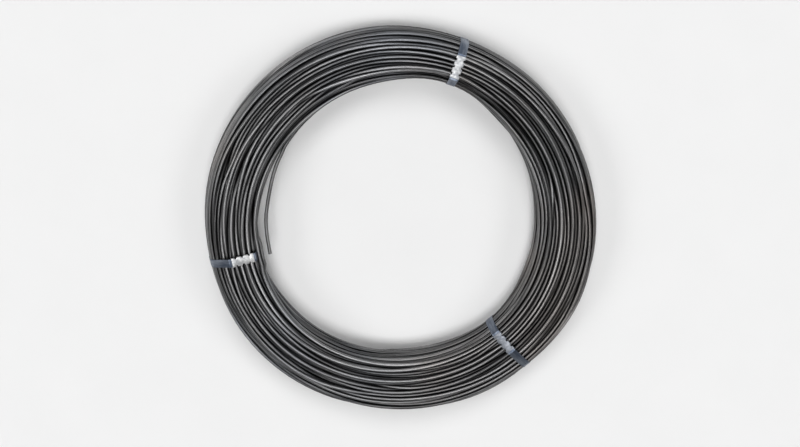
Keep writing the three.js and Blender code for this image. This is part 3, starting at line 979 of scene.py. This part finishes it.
def aim_camera(stage, aim):
    """Looks down on the coil, aside from straight down by the tilt."""
    camera = bpy.data.objects.new("camera", bpy.data.cameras.new("camera"))
    camera.data.lens = stage.lens
    camera.location = aim + stage.distance * Vector((0, math.sin(stage.tilt), math.cos(stage.tilt)))
    camera.rotation_euler = (-stage.tilt, 0, 0)
    bpy.context.scene.collection.objects.link(camera)
    bpy.context.scene.camera = camera


# ---- the add-on ----


def length_setting(default, description, name):
    return FloatProperty(
        name=name, description=description, default=default, min=0, subtype="DISTANCE", unit="LENGTH"
    )


def strength_setting(default, description, name):
    return FloatProperty(name=name, description=description, default=default, min=0)


def colour_setting(default, description, name):
    return FloatVectorProperty(
        name=name, description=description, default=default, min=0, max=1, size=3, subtype="COLOR"
    )


class RodSettings(bpy.types.PropertyGroup):
    bore: length_setting(0.422, "Diameter of the hole through the coil", "Bore")
    radial_build: length_setting(0.090, "Thickness of the winding from bore to outside", "Radial build")
    axial_build: length_setting(0.078, "Height of the winding as it lies", "Axial build")
    corner: length_setting(0.032, "Radius of the winding's rounded edges", "Edge radius")
    bore_squeeze: length_setting(0.007, "How far the ties pull in the bore's side", "Bore squeeze")
    outside_squeeze: length_setting(0.0025, "How far the ties pull in the outside", "Outside squeeze")
    end_squeeze: length_setting(0.002, "How far the ties press each flat side", "Side squeeze")
    rod: length_setting(0.0055, "Diameter of the rod", "Rod")
    turns: IntProperty(name="Turns", description="Turns of rod in the coil", default=168, min=12)
    wander: length_setting(0.0035, "How far a turn wanders from its place", "Wander")
    groove: length_setting(0.012, "Depth of the grooves between bunches of turns", "Groove depth")
    uneven: length_setting(0.0008, "How far a turn sinks below its neighbours", "Unevenness")
    seed: IntProperty(name="Seed", description="Another winding of the same kind", default=7, min=0)
    # the darker grey is also the colour of the painted shade where turns hide each other
    dark_scale_and_shade: colour_setting((0.01, 0.01, 0.0105), "The darker of the rod's two greys", "Dark scale")
    light_scale: colour_setting((0.385, 0.385, 0.388), "The lighter of the two greys", "Light scale")
    brown_scale: colour_setting((0.62, 0.47, 0.36), "Tint where the scale is brown", "Brown tint")
    blue_scale: colour_setting((0.38, 0.47, 0.62), "Tint where the scale is blue", "Blue tint")


class TieSettings(bpy.types.PropertyGroup):
    strap_width: length_setting(0.0127, "Width of the strap", "Strap width")
    strap_thickness: length_setting(0.0005, "Thickness of the strap", "Strap thickness")
    seal_length: length_setting(0.034, "Length of the seal along the strap", "Seal length")
    seal_sheet: length_setting(0.0008, "Thickness of the seal's sheet", "Seal sheet")
    strap_blue: colour_setting((0.09, 0.11, 0.15), "The strap's blued colour", "Strap blue")
    strap_bright: colour_setting((0.32, 0.35, 0.40), "Where the strap is worn bright", "Worn strap")
    zinc: colour_setting((0.72, 0.72, 0.715), "Bright zinc of the seal", "Zinc")
    # dull zinc, and also the colour of the painted shade on the seals
    dull_zinc_and_shade: colour_setting((0.10, 0.115, 0.145), "Dulled zinc of the seal", "Dull zinc")


class StageSettings(bpy.types.PropertyGroup):
    floor_colour: colour_setting((0.90, 0.90, 0.90), "The floor", "Floor")
    tilt: FloatProperty(
        name="Tilt",
        description="How far the view leans from straight down",
        default=math.radians(17),
        subtype="ANGLE",
    )
    distance: length_setting(2.5, "From the lens to the middle of the coil", "Camera distance")
    lens: FloatProperty(name="Lens", description="Focal length in millimetres", default=74, min=10)
    key: strength_setting(0.95, "Strength of the soft main lamp", "Key")
    side: strength_setting(0.55, "Strength of the left lamp", "Sides")
    top: strength_setting(1.38, "Strength of the lamp overhead", "Top")
    walls: strength_setting(0.85, "Strength of the light from the walls", "Walls")
    ambient: strength_setting(0.06, "Strength of the light from overhead", "Ambient")


def ring_of(rod):
    return Ring(**{name: getattr(rod, name) for name in Ring._fields})


def add_piece(name, mesh, material, slot, *nodes):
    """Shows a finished mesh in place of CAD nodes."""
    mesh.materials.clear()
    mesh.materials.append(material)
    piece = bpy.data.objects.new(name, mesh)
    bpy.context.scene.collection.objects.link(piece)
    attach(piece, "root")
    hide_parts(*nodes)
    return piece


class COIL_OT_wind_rod(bpy.types.Operator):
    """Wind the rod, turn by turn, from its loose inner end to its loose outer end"""

    bl_idname = "coil.wind_rod"
    bl_label = "Wind Rod"

    def execute(self, context):
        rod = context.scene.coil_rod
        ring = ring_of(rod)
        points = rod_points(ring)
        material = wire_material(rod)

        # One mesh of the whole rod would be too large. It is parted where a turn lies deepest.
        _, lay = wound_rod(ring)
        depth = -section_of(ring).outside(lay)[0]
        cuts = [0]
        for k in range(1, ROD_PIECES):
            first = len(lay) * k // ROD_PIECES
            cuts.append(first + int(np.argmax(depth[first : first + STATIONS])))
        cuts.append(len(lay) - 1)
        start = 0
        for k, (first, last) in enumerate(zip(cuts, cuts[1:])):
            name = f"rod_turns_{k + 1}"
            # the painted shade that the turns beside this stretch of the rod lay on it
            clear = painted_shade_finder(ring, first, last)
            mesh, start = rod_mesh(name, points[first : last + 1], ring.rod / 2, start, clear)
            add_piece(name, mesh, material, "wire", "wire_coil")
        return {"FINISHED"}


class COIL_OT_wrap_straps(bpy.types.Operator):
    """Pull a strap tight round the winding at each tie"""

    bl_idname = "coil.wrap_straps"
    bl_label = "Wrap Straps"

    def execute(self, context):
        ring = ring_of(context.scene.coil_rod)
        ties = context.scene.coil_ties
        material = strap_material(ties)
        for tie in TIES:
            mesh = strap_mesh(ring, tie, ties)
            add_piece(f"strap_{tie.number}", mesh, material, "strap", f"tie_strap_{tie.number}")
        return {"FINISHED"}


class COIL_OT_crimp_seals(bpy.types.Operator):
    """Fold a seal round each strap's lap and notch its edges"""

    bl_idname = "coil.crimp_seals"
    bl_label = "Crimp Seals"

    def execute(self, context):
        ring = ring_of(context.scene.coil_rod)
        ties = context.scene.coil_ties
        for tie in TIES:
            mesh = seal_mesh(ring, tie, ties)
            material = seal_material(ties, tie)
            add_piece(f"seal_{tie.number}", mesh, material, "seal", f"tie_seal_{tie.number}")
        return {"FINISHED"}


class COIL_OT_set_stage(bpy.types.Operator):
    """Lay the floor, and set the lamps and the camera"""

    bl_idname = "coil.set_stage"
    bl_label = "Set Stage"

    def execute(self, context):
        scene = context.scene
        stage = scene.coil_stage
        scene.view_settings.view_transform = "Standard"
        scene.world = studio_world(stage)
        lay_floor(stage)
        soft_lamp("key", stage.key, KEY_PLACE)
        soft_lamp("left", stage.side, LEFT_PLACE)
        soft_lamp("right", stage.side * RIGHT_SHARE, RIGHT_PLACE)
        soft_lamp("top", stage.top, TOP_PLACE)
        aim_camera(stage, Vector((0, 0, scene.coil_rod.axial_build / 2)))
        return {"FINISHED"}


class COIL_PT_panel(bpy.types.Panel):
    """Lists the steps in their order, each with its settings under it"""

    bl_label = "Coil of Wire Rod"
    bl_space_type = "VIEW_3D"
    bl_region_type = "UI"
    bl_category = "Wire Rod"

    def draw(self, context):
        for operator, group in STEPS:
            self.layout.operator(operator.bl_idname)
            if group:
                settings = getattr(context.scene, group)
                for name in GROUPS[group].__annotations__:
                    self.layout.prop(settings, name)


STEPS = (
    (COIL_OT_wind_rod, "coil_rod"),
    (COIL_OT_wrap_straps, "coil_ties"),
    (COIL_OT_crimp_seals, None),
    (COIL_OT_set_stage, "coil_stage"),
)
GROUPS = {"coil_rod": RodSettings, "coil_ties": TieSettings, "coil_stage": StageSettings}
CLASSES = (*GROUPS.values(), *(operator for operator, _ in STEPS), COIL_PT_panel)


def register():
    for one in CLASSES:
        bpy.utils.register_class(one)
    for name, group in GROUPS.items():
        setattr(bpy.types.Scene, name, PointerProperty(type=group))


def unregister():
    for name in GROUPS:
        delattr(bpy.types.Scene, name)
    for one in reversed(CLASSES):
        bpy.utils.unregister_class(one)


def main():
    register()
    bpy.ops.coil.wind_rod()
    bpy.ops.coil.wrap_straps()
    bpy.ops.coil.crimp_seals()
    bpy.ops.coil.set_stage()


if __name__ == "__main__":
    main()
